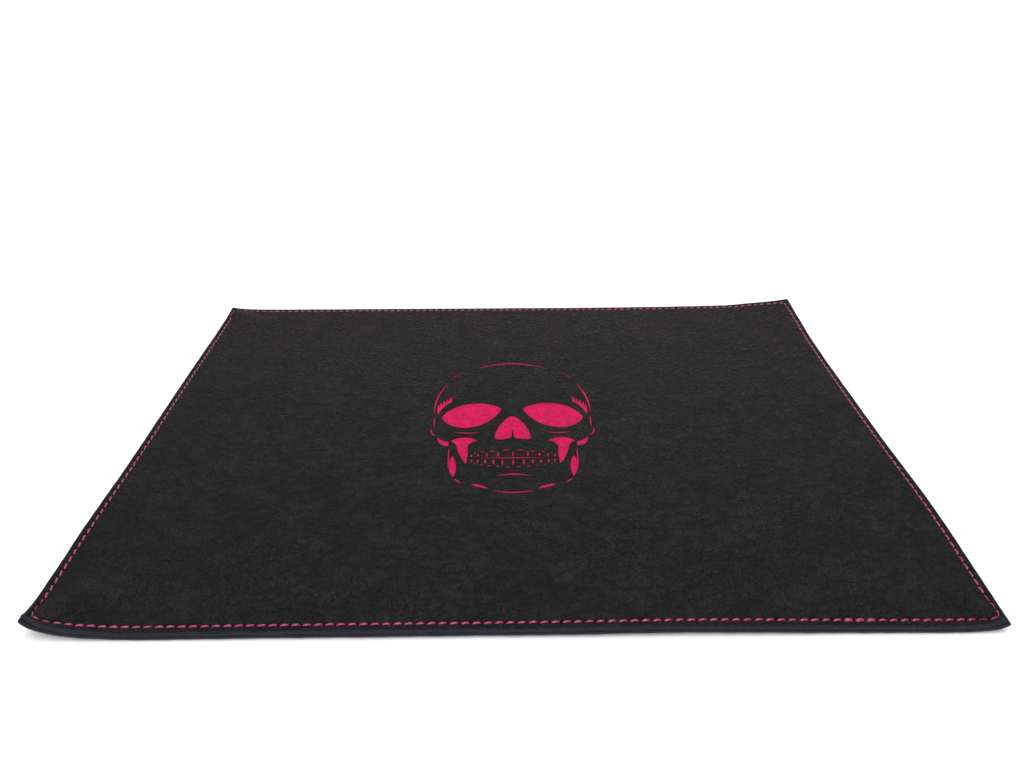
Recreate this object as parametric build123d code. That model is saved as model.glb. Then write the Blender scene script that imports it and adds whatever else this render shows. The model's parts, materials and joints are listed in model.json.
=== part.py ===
"""Folding dice tray: a rectangular mat of two leather layers, saddle-stitched round its edge.

The mat lies flat for storage.  Four walls fold up from the floor, and each corner folds outward
along its diagonal into a pinched ear, which a pair of disc magnets between the layers holds shut.
Each wall and each half of a corner is its own rigid panel, hinged in the plane of the top face.
The four corners curl up a little at rest.  Millimetres, +Z up, origin under the mat's centre.
"""
import math
import os

from build123d import *

# Leather
WIDTH = 279.4            # left to right, 11 in
DEPTH = 203.2            # front to back, 8 in
LEATHER = 1.5            # each of the two layers
THICK = 2 * LEATHER

# Saddle stitching
MARGIN = 2.5             # stitch line to the edge
STITCHES_X = 86          # along the front and the back
STITCHES_Y = 62          # along each side
THREAD = 0.9             # width of the thread as it lies
THREAD_POST = 0.8        # length of thread inside a needle hole, along the row
THREAD_PROUD = 0.3       # top thread above the leather
THREAD_INSET = 0.05      # bottom thread inside the underside
NOTCH = 0.4              # dip between two stitches, wide
NOTCH_DEEP = 0.3
GROOVE = 1.1             # stitching groove, wide; also the needle hole across the row
GROOVE_TOP = 0.5         # deep
GROOVE_BOTTOM = 0.65
HOLE = 1.0               # needle hole along the row

# Folds
EAR = 31.25              # edge to the crease between a wall and its ear, nine stitches in
FOLD_SHIFT = 0.6         # the floor's fold lies this much nearer the edge, so closed ears just clear
WALL = EAR - FOLD_SHIFT  # wall height when folded up
GAP = 0.3                # each side of a crease, at the top face
DIAGONAL_GAP = 1.5       # each side of a corner's diagonal
MITRE = math.radians(22.5)                 # underside relief of an ear crease, each side
LIFT = {"front_left": 5.8, "front_right": 2.4, "back_left": 3.2, "back_right": 3.2}

# Magnets, between the layers
MAGNET_R = 5.0
MAGNET_THICK = 1.0
POCKET_R = 5.2
POCKET_DEEP = 1.05
MAGNET_IN = EAR * (2 - math.sqrt(2)) / 2   # centre of the ear half's inscribed circle, to two sides

# Painted skull motif, set into the top layer
RECESS = 0.25
PAINT = 0.2
MIN_BOW = 0.01           # a flatter side is drawn as a straight line

CLEAR = 5.0              # how far cutting tools run past the leather
PITCH_X = (WIDTH - 2 * MARGIN) / STITCHES_X
PITCH_Y = (DEPTH - 2 * MARGIN) / STITCHES_Y


def slab(x0, x1, y0, y1, z0, z1):
    """Box between two opposite corners."""
    centre = ((x0 + x1) / 2, (y0 + y1) / 2, (z0 + z1) / 2)
    return Pos(*centre) * Box(x1 - x0, y1 - y0, z1 - z0)


def compound(shapes):
    """All the solids of several shapes, as one shape."""
    return Compound(children=[solid for shape in shapes for solid in shape.solids()])


# ---------------------------------------------------------------- skull motif
def bowed(start, end, rise):
    """Side of an outline, bowed to the left of its direction by rise."""
    chord = Vector(*end) - Vector(*start)
    if abs(rise) < MIN_BOW:
        return Line(start, end)
    left = Vector(-chord.Y, chord.X).normalized()
    middle = (Vector(*start) + Vector(*end)) / 2 + left * rise
    return ThreePointArc(start, middle, end)


def patch(corners):
    """Face from (x, y, bow of the side to the next corner)."""
    following = corners[1:] + corners[:1]
    sides = [bowed(a[:2], b[:2], a[2]) for a, b in zip(corners, following)]
    return make_face(sides)


def stroke(start, end, rise, weight):
    """Tapered line: two arcs that meet at its ends."""
    back = weight - rise
    return patch([(*start, rise), (*end, back)])


def fleck(start, end, rise, weight):
    """Short straight-sided mark, bent to the left of its direction by rise at its middle."""
    along = Vector(*end) - Vector(*start)
    left = Vector(-along.Y, along.X).normalized()
    middle = (Vector(*start) + Vector(*end)) / 2
    outer = middle + left * rise
    inner = middle + left * (rise - weight)
    return patch([(*start, 0), (outer.X, outer.Y, 0), (*end, 0), (inner.X, inner.Y, 0)])


def temple():
    """Hatched shading beside an eye socket: tapered hairs over a curved base."""
    gaps = 5
    step = Vector(1.12, -1.3)
    tip = Vector(24.4, 20.8)
    root = Vector(24.9, 17.2)
    corners = []
    for i in range(gaps):
        corners.append((tip.X + i * step.X, tip.Y + i * step.Y, 0))
        corners.append((root.X + i * step.X, root.Y + i * step.Y, 0))
    corners.append((tip.X + gaps * step.X, tip.Y + gaps * step.Y, 0))
    corners += [(30.2, 9.5, 0), (29.5, 5.8, -1.0), (24.5, 15.4, 0)]
    return patch(corners)


def half_skull():
    """Faces of the right half; the left half is its mirror image."""
    socket = [(4.2, 10.7, 6.6), (28.0, 4.4, 2.4), (17.5, -2.8, 1.4), (7.2, 4.2, 0.4)]
    cheek = [(13.0, -11.3, 0.9), (17.0, -15.2, -0.3), (17.2, -25.6, -0.5), (21.0, -15.4, 0.5),
             (23.6, -11.6, -0.6), (18.6, -9.1, -0.5)]
    cheekbone = [(28.6, -8.6, 0.7), (24.2, -12.0, 0), (24.2, -14.7, -0.6), (28.0, -12.4, -0.3)]
    jaw = [(22.4, -20.6, 1.5), (21.4, -33.2, 1.2)]
    chin_side = [(8.6, -39.4, 0.7), (15.0, -37.0, 0.7)]
    faces = [patch(outline) for outline in (socket, cheek, cheekbone, jaw, chin_side)]
    faces += [
        temple(),
        stroke((26.6, 30.6), (31.1, 6.4), 2.0, 0.5),       # side of the cranium
        stroke((31.0, 5.4), (30.6, -2.6), 0.2, 0.4),       # behind the socket
        stroke((31.2, -2.8), (29.2, -8.4), 1.4, 0.5),      # cheekbone's end
        stroke((12.0, -5.8), (23.5, -5.6), -0.2, 0.5),     # under the socket
        stroke((24.0, -15.4), (23.6, -28.4), 0.2, 0.4),    # back of the jaw
        stroke((21.2, -33.9), (18.4, -36.8), 0.3, 0.4),    # corner of the jaw
    ]
    return faces


def teeth():
    """Bite line, the gaps between teeth, and the gum line over each tooth."""
    bite = -22.1
    gaps_up = [0, 5.5, 9.7, 12.9, 15.4]
    gaps_down = [0, 3.9, 7.2, 10.2, 12.9, 15.2]
    faces = [fleck((-16.0, bite), (16.0, bite), 0.2, 0.4)]
    for gaps, side, height in ((gaps_up, 1, 3.6), (gaps_down, -1, 4.2)):
        for x in sorted({sign * gap for gap in gaps for sign in (-1, 1)}):
            tall = height * (1 - 0.0018 * x * x)
            near = (x, bite + side * 0.4)
            far = (x, bite + side * tall)
            faces.append(fleck(near, far, 0.25, 0.5))
        for inner, outer in zip(gaps, gaps[1:]):
            level = bite + side * (height * (1 - 0.0018 * outer * outer) + 0.25)
            for sign in (-1, 1):
                ends = sorted([(sign * (inner + 0.5), level), (sign * (outer - 0.5), level)])
                faces.append(fleck(*ends, side * 0.5 + 0.2, 0.4))
    return faces


def skull_faces():
    """Every painted face of the motif."""
    nose = [(-1.5, 4.4, 0.6), (1.5, 4.4, 1.0), (6.9, -8.4, 0.9), (5.0, -10.6, 0.3), (0.6, -9.4, 0),
            (0, -4.4, 0), (-0.6, -9.4, 0.3), (-5.0, -10.6, 0.9), (-6.9, -8.4, 1.0)]
    centre = [
        patch(nose),
        stroke((-17.0, 40.4), (17.0, 40.4), 6.2, 1.0),     # crown
        stroke((-6.8, -32.8), (6.8, -32.8), 1.6, 0.8),     # fold over the chin
        stroke((-7.6, -40.4), (7.6, -40.4), -0.9, 0.5),    # chin
    ]
    right = half_skull()
    left = [mirror(face, about=Plane.YZ) for face in right]
    return centre + right + left + teeth()


def skull_solids(thick):
    """The motif as solids standing on the recess floor."""
    faces = [Pos(0, 0, THICK - RECESS) * face for face in skull_faces()]
    return compound([extrude(face, amount=thick, dir=(0, 0, 1)) for face in faces])


# ---------------------------------------------------------------- the mat, before it is cut
def row_places(across, z=0.0):
    """Location of each stitch row's middle, with its own x along the row, and its pitch."""
    x = WIDTH / 2 - MARGIN
    y = DEPTH / 2 - MARGIN
    turn = Rot(0, 0, 90)
    if across:
        return [Pos(0, -y, z), Pos(0, y, z)]
    return [Pos(-x, 0, z) * turn, Pos(x, 0, z) * turn]


ROWS = [(place, count, pitch)
        for along_x, count, pitch in ((True, STITCHES_X, PITCH_X), (False, STITCHES_Y, PITCH_Y))
        for place in row_places(along_x)]


def stitch_cuts(groove_bottom, groove_top):
    """Grooves and needle holes of the four rows."""
    cuts = []
    for place, count, pitch in ROWS:
        half = count * pitch / 2 + GROOVE / 2
        groove = slab(-half, half, -GROOVE / 2, GROOVE / 2, groove_bottom, groove_top)
        hole = Pos(0, 0, THICK / 2) * Box(HOLE, GROOVE, THICK + CLEAR)
        cuts.append(place * groove)
        cuts += [place * spot * hole for spot in GridLocations(pitch, 0, count + 1, 1)]
    return cuts


def leather_top():
    """Top layer with its grooves, needle holes and the recess for the painted motif."""
    sheet = slab(-WIDTH / 2, WIDTH / 2, -DEPTH / 2, DEPTH / 2, LEATHER, THICK)
    sheet -= stitch_cuts(THICK - GROOVE_TOP, THICK + CLEAR)
    return sheet - skull_solids(RECESS + CLEAR)


def leather_backing():
    """Bottom layer with its grooves, needle holes and the magnets' pockets."""
    sheet = slab(-WIDTH / 2, WIDTH / 2, -DEPTH / 2, DEPTH / 2, 0, LEATHER)
    sheet -= stitch_cuts(-CLEAR, GROOVE_BOTTOM)
    pocket = Pos(0, 0, LEATHER - POCKET_DEEP / 2) * Cylinder(POCKET_R, POCKET_DEEP)
    return sheet - [Pos(*spot) * pocket for spot in magnet_spots().values()]


def thread_row(count, pitch):
    """One saddle-stitched row: a bar over and a bar under each stitch, joined in the holes."""
    low = THREAD_INSET
    high = THICK + THREAD_PROUD
    window = THICK - GROOVE_TOP - GROOVE_BOTTOM
    length = count * pitch + THREAD_POST
    side = Pos(0, (low + high) / 2) * Rectangle(length, high - low)
    side -= (Pos(0, GROOVE_BOTTOM + window / 2) * GridLocations(pitch, 0, count, 1)
             * Rectangle(pitch - THREAD_POST, window))
    for z in (low + NOTCH_DEEP / 2, high - NOTCH_DEEP / 2):
        side -= Pos(0, z) * GridLocations(pitch, 0, count + 1, 1) * Rectangle(NOTCH, NOTCH_DEEP)
    return extrude(Plane.XZ * side, amount=THREAD / 2, both=True)


# ---------------------------------------------------------------- folds
def corner_signs(corner):
    """Which way a corner lies from the centre, as signs of x and y."""
    front_back, left_right = corner.split("_")
    return (1 if left_right == "right" else -1), (1 if front_back == "back" else -1)


def magnet_spots():
    """Middle of each magnet in plan, by ear half."""
    spots = {}
    deep = EAR - MAGNET_IN
    for corner in LIFT:
        sx, sy = corner_signs(corner)
        spots[corner, "end"] = (sx * (WIDTH / 2 - deep), sy * (DEPTH / 2 - MAGNET_IN))
        spots[corner, "side"] = (sx * (WIDTH / 2 - MAGNET_IN), sy * (DEPTH / 2 - deep))
    return spots


def crease_tool(length):
    """Relief along a crease on the y axis: narrow at the top face, mitred to the underside."""
    low = -CLEAR
    wide = GAP + (THICK - low) * math.tan(MITRE)
    section = Polyline((-GAP, THICK + CLEAR), (-GAP, THICK), (-wide, low), (wide, low),
                       (GAP, THICK), (GAP, THICK + CLEAR), close=True)
    return extrude(Plane.XZ * make_face(section), amount=length / 2, both=True)


def creases():
    """The eight creases between the walls and the ears."""
    tool = crease_tool(2 * EAR)
    tools = []
    for sx in (-1, 1):
        for sy in (-1, 1):
            tools.append(Pos(sx * (WIDTH / 2 - EAR), sy * DEPTH / 2, 0) * tool)
            tools.append(Pos(sx * WIDTH / 2, sy * (DEPTH / 2 - EAR), 0) * Rot(0, 0, 90) * tool)
    return tools


def column(outline):
    """Upright prism through the whole mat over a closed outline."""
    base = Plane.XY.offset(-CLEAR) * make_face(Polyline(*outline, close=True))
    return extrude(base, amount=THICK + 2 * CLEAR)


def ear_outlines(corner):
    """Plan of the two halves of a corner, either side of its diagonal."""
    sx, sy = corner_signs(corner)
    x_edge, y_edge = WIDTH / 2, DEPTH / 2
    nip = DIAGONAL_GAP * math.sqrt(2)
    end = [(x_edge - EAR, y_edge), (x_edge - nip, y_edge), (x_edge - EAR, y_edge - EAR + nip)]
    side = [(x_edge, y_edge - EAR), (x_edge, y_edge - nip), (x_edge - EAR + nip, y_edge - EAR)]
    return {"end": [(sx * x, sy * y) for x, y in end],
            "side": [(sx * x, sy * y) for x, y in side]}


def regions():
    """Plan column of each panel: the floor, four walls and eight ear halves."""
    x_floor, y_floor = WIDTH / 2 - WALL - GAP, DEPTH / 2 - WALL - GAP
    x_wall, y_wall = WIDTH / 2 - WALL + GAP, DEPTH / 2 - WALL + GAP
    x_ear, y_ear = WIDTH / 2 - EAR, DEPTH / 2 - EAR
    low, high = -CLEAR, THICK + CLEAR
    places = {"floor": slab(-x_floor, x_floor, -y_floor, y_floor, low, high)}
    edge_x, edge_y = WIDTH / 2 + CLEAR, DEPTH / 2 + CLEAR
    places["front_wall"] = slab(-x_ear, x_ear, -edge_y, -y_wall, low, high)
    places["back_wall"] = slab(-x_ear, x_ear, y_wall, edge_y, low, high)
    places["left_wall"] = slab(-edge_x, -x_wall, -y_ear, y_ear, low, high)
    places["right_wall"] = slab(x_wall, edge_x, -y_ear, y_ear, low, high)
    for corner in LIFT:
        end, side = corner.split("_")
        outlines = ear_outlines(corner)
        places[f"{corner}_ear_{end}"] = column(outlines["end"])
        places[f"{corner}_ear_{side}"] = column(outlines["side"])
    return places


def curl(panel, shape):
    """Tilt an ear half up about its crease, as the corner lies at rest."""
    if "_ear_" not in panel:
        return shape
    corner, half = panel.split("_ear_")
    sx, sy = corner_signs(corner)
    tilt = math.degrees(math.asin(LIFT[corner] / EAR))
    if half in ("front", "back"):
        crease = Axis((sx * (WIDTH / 2 - EAR), 0, THICK), (0, -sx, 0))
    else:
        crease = Axis((0, sy * (DEPTH / 2 - EAR), THICK), (sy, 0, 0))
    return shape.rotate(crease, tilt)


def magnet(panel):
    """Disc magnet of an ear half, lying in its pocket."""
    corner, half = panel.split("_ear_")
    spot = magnet_spots()[corner, "end" if half in ("front", "back") else "side"]
    z = LEATHER - POCKET_DEEP + MAGNET_THICK / 2
    return Pos(*spot, z) * Cylinder(MAGNET_R, MAGNET_THICK)


# ---------------------------------------------------------------- assembly
def build():
    """Every node by name, cut from the whole mat and set in its place at rest."""
    relief = creases()
    top = leather_top() - relief
    backing = leather_backing() - relief
    threads = [place * thread_row(count, pitch) - relief for place, count, pitch in ROWS]
    row_of = {"front": 0, "back": 1, "left": 2, "right": 3}
    nodes = {"skull_inlay": skull_solids(PAINT)}
    for panel, region in regions().items():
        nodes[f"{panel}_leather"] = curl(panel, top & region)
        nodes[f"{panel}_backing"] = curl(panel, backing & region)
        if panel == "floor":
            continue
        side = panel.split("_")[-1] if "_ear_" in panel else panel.split("_")[0]
        nodes[f"{panel}_stitches"] = curl(panel, threads[row_of[side]] & region)
        if "_ear_" in panel:
            nodes[f"{panel}_magnet"] = curl(panel, magnet(panel))
    return nodes


os.makedirs("parts", exist_ok=True)
for name, shape in build().items():
    export_step(shape, f"parts/{name}.step")
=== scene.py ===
"""Folding dice tray: two layers of black leather, pink saddle stitching and a painted skull.

Every leather panel is a closed slab cut from one flat plan and set on one shared surface, so the
panels meet without a step and the corners curl up smoothly. Plan sizes are millimetres, with x to
the right and y to the back, measured from the mat's centre. Blender's meshes are in metres.
"""

import json
import math
import random

import bmesh
import bpy
import numpy as np
from mathutils import Matrix, Vector
from mathutils.geometry import delaunay_2d_cdt


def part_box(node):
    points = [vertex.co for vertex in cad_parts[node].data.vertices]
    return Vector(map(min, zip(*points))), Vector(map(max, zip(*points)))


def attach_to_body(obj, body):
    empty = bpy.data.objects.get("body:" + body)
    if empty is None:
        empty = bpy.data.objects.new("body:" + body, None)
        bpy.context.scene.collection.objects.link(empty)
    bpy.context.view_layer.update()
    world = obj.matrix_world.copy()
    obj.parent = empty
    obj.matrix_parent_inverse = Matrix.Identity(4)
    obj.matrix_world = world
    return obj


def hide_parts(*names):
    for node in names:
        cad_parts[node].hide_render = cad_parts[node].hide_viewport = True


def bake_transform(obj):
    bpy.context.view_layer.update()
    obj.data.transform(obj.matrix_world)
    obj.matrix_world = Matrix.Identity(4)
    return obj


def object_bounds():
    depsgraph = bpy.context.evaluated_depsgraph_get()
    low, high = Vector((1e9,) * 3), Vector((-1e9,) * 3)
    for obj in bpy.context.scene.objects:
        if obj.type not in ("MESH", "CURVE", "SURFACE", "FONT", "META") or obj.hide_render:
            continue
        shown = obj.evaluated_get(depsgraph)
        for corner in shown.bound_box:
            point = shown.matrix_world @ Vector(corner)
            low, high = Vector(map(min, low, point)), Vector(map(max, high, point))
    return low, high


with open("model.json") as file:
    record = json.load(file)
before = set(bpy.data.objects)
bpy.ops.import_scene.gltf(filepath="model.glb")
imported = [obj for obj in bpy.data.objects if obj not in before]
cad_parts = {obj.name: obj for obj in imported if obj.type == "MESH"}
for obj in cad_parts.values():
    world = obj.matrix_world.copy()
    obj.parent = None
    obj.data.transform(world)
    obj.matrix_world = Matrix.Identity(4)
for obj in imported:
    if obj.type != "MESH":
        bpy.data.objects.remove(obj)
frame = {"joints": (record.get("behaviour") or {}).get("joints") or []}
CAD_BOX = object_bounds()

MM = 0.001
random.seed(11)


# ---------------------------------------------------------------- sizes, from the frame
def joint_anchor(name):
    """Where a joint's axis lies, in millimetres."""
    joint = next(j for j in frame["joints"] if j["name"] == name)
    return Vector(joint["pos_m"]) / MM


LOW, HIGH = (corner / MM for corner in CAD_BOX)
HALF_X = (HIGH.x - LOW.x) / 2
HALF_Y = (HIGH.y - LOW.y) / 2
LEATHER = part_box("floor_backing")[1].z / MM          # each layer
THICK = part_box("floor_leather")[1].z / MM            # both layers
WALL = HALF_Y - abs(joint_anchor("front_wall_fold").y)                   # edge to the floor's fold
EAR = HALF_X - abs(joint_anchor("front_left_ear_front_fold").x)          # edge to an ear's crease

# Stitching
MARGIN = HALF_Y - abs(sum(c.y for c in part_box("front_wall_stitches")) / 2 / MM)
STITCHES = {"front": 86, "right": 62, "back": 86, "left": 62}
EAR_STITCHES = 9          # from the corner hole to the crease
THREAD_WIDE = 0.76
THREAD_TALL = 0.5
THREAD_SINK = 1.0         # how far a stitch's ends go down into its holes
SLANT = 0.16              # sideways lean of a stitch, each way from its middle
GROOVE = 1.1              # wide
GROOVE_DEEP = 0.3
GROOVE_UNDER = 0.58
HOLE_R = 0.42
HOLE_DEEP = 0.75

# Folds
BEND = 2.0                # half the width of the strip that bends at a fold
FLOOR_EDGE = WALL + BEND
WALL_EDGE = WALL - BEND
EAR_ROOT = EAR + BEND
EAR_EDGE = EAR - BEND

# Edges of the leather
ROUND_TOP = 0.55
ROUND_UNDER = 0.7
ROUND_SEAM = 0.22
WOBBLE = 0.22             # unevenness of the hand-cut edge
WOBBLE_REACH = 1.8        # how far in from the edge it fades out

# Curl of each corner: lift of its tip, how far that reaches, and height of the fold left in it
CURL = {"front_left": (6.6, 8.9, 3.5), "front_right": (2.8, 4.0, 1.45),
        "back_left": (2.4, 6.0, 1.9), "back_right": (4.0, 15.0, 1.9)}
RIDGE_SPREAD = 0.6        # how far a corner's fold reaches to each side, as a share of its width
RIDGE_START = 1.5         # how far in from the tip the fold starts
RIDGE_GROWTH = 6          # over what length it grows
CURL_FADE = 20            # how far in from the edges the curl starts to fade out

# Sides that bow out of straight: which side, how far, where along y, and over what reach
BOWS = [(-1, 1.2, -60.0, 34.0), (1, 1.6, -55.0, 34.0)]
BOW_START = 60            # how far to the side of the middle they start
DRAW_IN = 0.028           # how far the leather is drawn in where it rises, per mm of rise squared
DRAW_FROM = 0.5           # rise at which that starts

# Gentle rises of the mat off the table: x, y, reach along x, reach along y, height
RISES = [
    (52.0, -HALF_Y, 42.0, 30.0, 0.95),
    (-30.0, -HALF_Y, 60.0, 24.0, 0.47),
    (HALF_X, HALF_Y, 52.0, 40.0, 1.3),
    (HALF_X, 0.0, 22.0, 46.0, 0.73),
    (-HALF_X, 18.0, 24.0, 40.0, 0.66),
    (-60.0, 45.0, 34.0, 26.0, 0.25),
    (64.0, 30.0, 30.0, 34.0, 0.22),
]

# Painted skull
RECESS = 0.26
PAINT_DEEP = 0.07         # paint below the leather
BURN = 0.7                # width of the scorched rim round each engraved patch
MOTIF_REACH = 60          # the skull lies within this of the middle, along x and y

# Plan grid
STEP = 1.8                # between lines in the middle of the mat
HOLE_RINGS = ((0.2, 4), (0.5, 8))         # radius and number of points, round each needle hole
FLAT_PASSES = 40          # most rounds of turning flat triangles away
# Distances in from the edge of the closer lines
RIM = [0, 0.05, 0.15, 0.3, 0.5, 0.9, 1.4, 1.95, 2.2, 2.5, 2.8, 3.05, 3.6, 4.5, 5.6, 7.0, 8.6, 10.3,
       12.0, 13.8, 15.6, 17.4, 19.2, 21.0, 22.8, 24.5, 26.2, 27.5]


def smooth(t):
    """Smooth step from 0 to 1."""
    t = np.clip(t, 0, 1)
    return t * t * (3 - 2 * t)


# ---------------------------------------------------------------- the mat's surface
def corner_signs(corner):
    """Which way a corner lies from the centre, as signs of x and y."""
    front_back, left_right = corner.split("_")
    return (1 if left_right == "right" else -1), (1 if front_back == "back" else -1)


def height(x, y):
    """How far the mat's underside stands off the table, at points of the plan."""
    total = np.zeros_like(x)
    for cx, cy, rx, ry, rise in RISES:
        total += rise * np.exp(-((x - cx) / rx) ** 2 - ((y - cy) / ry) ** 2)
    u = np.maximum(HALF_X - np.abs(x), 0)
    v = np.maximum(HALF_Y - np.abs(y), 0)
    middle = (u + v) / 2
    aside = np.abs(u - v) / 2
    across = aside / np.maximum(middle, 1e-6)
    ridge = (1 - smooth(across / RIDGE_SPREAD)) * smooth((middle - RIDGE_START) / RIDGE_GROWTH)
    facet = np.clip(1 - middle / EAR, 0, 1)
    far = (u ** 6 + v ** 6) ** (1 / 6)
    near = 1 - smooth((far - CURL_FADE) / (EAR_ROOT - CURL_FADE))
    for corner, (lift, reach, fold) in CURL.items():
        sx, sy = corner_signs(corner)
        here = (x * sx > 0) & (y * sy > 0)
        curl = ridge * fold * facet + (1 - ridge) * lift * np.exp(-2 * middle / reach)
        total += np.where(here, near * curl, 0)
    return total


def wobble(along, layer, side):
    """Unevenness of one edge of one layer, at a distance along it."""
    phase = 1.7 * side + 0.9 * layer
    wave = np.sin(along * 0.11 + phase) + 0.7 * np.sin(along * 0.31 + 2.3 * phase)
    return WOBBLE * (0.35 + 0.2 * wave + 0.14 * np.sin(along * 0.83 + 4.1 * phase))


def bow(x, y):
    """How far the sides stand out from a straight edge, fading towards the middle."""
    total = np.zeros_like(x)
    for side, out, centre, reach in BOWS:
        outward = smooth((x * side - BOW_START) / (HALF_X - BOW_START))
        total += side * out * (outward * np.exp(-((y - centre) / reach) ** 2))
    return total


def set_on_surface(x, y, z, layer):
    """Points of the flat mat, z above its underside, moved to where they lie: in metres."""
    x = np.asarray(x, float)
    y = np.asarray(y, float)
    z = np.asarray(z, float)
    u = HALF_X - np.abs(x)
    v = HALF_Y - np.abs(y)
    in_x = wobble(y, layer, np.sign(x)) * (1 - smooth(u / WOBBLE_REACH))
    in_y = wobble(x, layer, 2 * np.sign(y)) * (1 - smooth(v / WOBBLE_REACH))
    rise = height(x, y)
    gap = 0.05
    slope_x = (height(x + gap, y) - height(x - gap, y)) / (2 * gap)
    slope_y = (height(x, y + gap) - height(x, y - gap)) / (2 * gap)
    slope_x = np.where(u < gap, (rise - height(x - np.sign(x) * gap, y)) / gap * np.sign(x), slope_x)
    slope_y = np.where(v < gap, (rise - height(x, y - np.sign(y) * gap)) / gap * np.sign(y), slope_y)
    long = np.sqrt(1 + slope_x ** 2 + slope_y ** 2)
    drawn_in = DRAW_IN * rise ** 2 * smooth(rise - DRAW_FROM)
    px = x + bow(x, y) - np.sign(x) * (in_x + drawn_in) - slope_x / long * z
    py = y - np.sign(y) * (in_y + drawn_in) - slope_y / long * z
    pz = rise + z / long
    return np.stack([px, py, pz], 1) * MM


# ---------------------------------------------------------------- skull motif
def arc_points(start, end, rise, spacing=0.45):
    """Points from start to just before end, on an arc bowed to the left by rise."""
    start, end = np.array(start, float), np.array(end, float)
    chord = end - start
    span = np.hypot(*chord)
    left = np.array([-chord[1], chord[0]]) / span
    count = max(1, round(span / spacing))
    t = np.arange(count) / count
    if abs(rise) < 0.01:
        return start + np.outer(t, chord)
    radius = (span ** 2 / 4 + rise ** 2) / (2 * abs(rise))
    half = 2 * math.atan(2 * abs(rise) / span)
    angle = (2 * t - 1) * half
    across = radius * np.sin(angle) + span / 2
    up = (radius * np.cos(angle) - radius * math.cos(half)) * math.copysign(1, rise)
    return start + np.outer(across, chord / span) + np.outer(up, left)


def patch(corners):
    """Closed outline from (x, y, bow of the side to the next corner)."""
    following = corners[1:] + corners[:1]
    return np.concatenate([arc_points(a[:2], b[:2], a[2]) for a, b in zip(corners, following)])


def stroke(start, end, rise, weight):
    """Tapered line: two arcs that meet at its ends."""
    return patch([(*start, rise), (*end, weight - rise)])


def fleck(start, end, rise, weight):
    """Short straight-sided mark, bent to the left of its direction by rise at its middle."""
    along = Vector(end) - Vector(start)
    left = Vector((-along.y, along.x)).normalized()
    middle = (Vector(start) + Vector(end)) / 2
    outer = middle + left * rise
    inner = middle + left * (rise - weight)
    return patch([(*start, 0), (*outer, 0), (*end, 0), (*inner, 0)])


def temple():
    """Hatched shading beside an eye socket: tapered hairs over a curved base."""
    gaps = 5
    step = Vector((1.12, -1.3))
    tip = Vector((24.4, 20.8))
    root = Vector((24.9, 17.2))
    corners = []
    for i in range(gaps):
        corners.append((*(tip + i * step), 0))
        corners.append((*(root + i * step), 0))
    corners.append((*(tip + gaps * step), 0))
    corners += [(30.2, 9.5, 0), (29.5, 5.8, -1.0), (24.5, 15.4, 0)]
    return patch(corners)


def half_skull():
    """Outlines of the right half; the left half is its mirror image."""
    socket = [(4.2, 10.7, 6.6), (28.0, 4.4, 2.4), (17.5, -2.8, 1.4), (7.2, 4.2, 0.4)]
    cheek = [(13.0, -11.3, 0.9), (17.0, -15.2, -0.3), (17.2, -25.6, -0.5), (21.0, -15.4, 0.5),
             (23.6, -11.6, -0.6), (18.6, -9.1, -0.5)]
    cheekbone = [(28.6, -8.6, 0.7), (24.2, -12.0, 0), (24.2, -14.7, -0.6), (28.0, -12.4, -0.3)]
    jaw = [(22.4, -20.6, 1.5), (21.4, -33.2, 1.2)]
    chin_side = [(8.6, -39.4, 0.7), (15.0, -37.0, 0.7)]
    outlines = [patch(outline) for outline in (socket, cheek, cheekbone, jaw, chin_side)]
    return outlines + [
        temple(),
        stroke((25.9, 32.2), (18.4, 39.7), -1.0, 0.4),     # from the temple to the crown
        stroke((26.6, 30.6), (31.1, 6.4), 2.0, 0.75),      # side of the cranium
        stroke((31.0, 5.4), (30.6, -2.6), 0.2, 0.6),       # behind the socket
        stroke((31.2, -2.8), (29.2, -8.4), 1.4, 0.7),      # cheekbone's end
        stroke((12.0, -5.8), (23.5, -5.6), -0.2, 0.75),    # under the socket
        stroke((24.0, -15.4), (23.6, -28.4), 0.2, 0.6),    # back of the jaw
        stroke((21.2, -33.9), (18.4, -36.8), 0.3, 0.7),    # corner of the jaw
    ]


def teeth():
    """Bite line, the gaps between teeth, and the gum line over each tooth."""
    bite = -22.1
    gaps_up = [0, 5.5, 9.7, 12.9, 15.4]
    gaps_down = [0, 3.9, 7.2, 10.2, 12.9, 15.2]
    outlines = [fleck((-16.0, bite), (16.0, bite), 0.35, 0.7)]
    for gaps, side, tall in ((gaps_up, 1, 4.3), (gaps_down, -1, 4.7)):
        for x in sorted({sign * gap for gap in gaps for sign in (-1, 1)}):
            end = bite + side * tall * (1 - 0.0018 * x * x)
            outlines.append(fleck((x, bite + side * 0.45), (x, end), 0.4, 0.8))
        for inner, outer in zip(gaps, gaps[1:]):
            level = bite + side * (tall * (1 - 0.0018 * outer * outer) + 0.25)
            for sign in (-1, 1):
                ends = sorted([(sign * (inner + 0.5), level), (sign * (outer - 0.5), level)])
                outlines.append(fleck(*ends, side * 0.5 + 0.25, 0.65))
    return outlines


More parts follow.
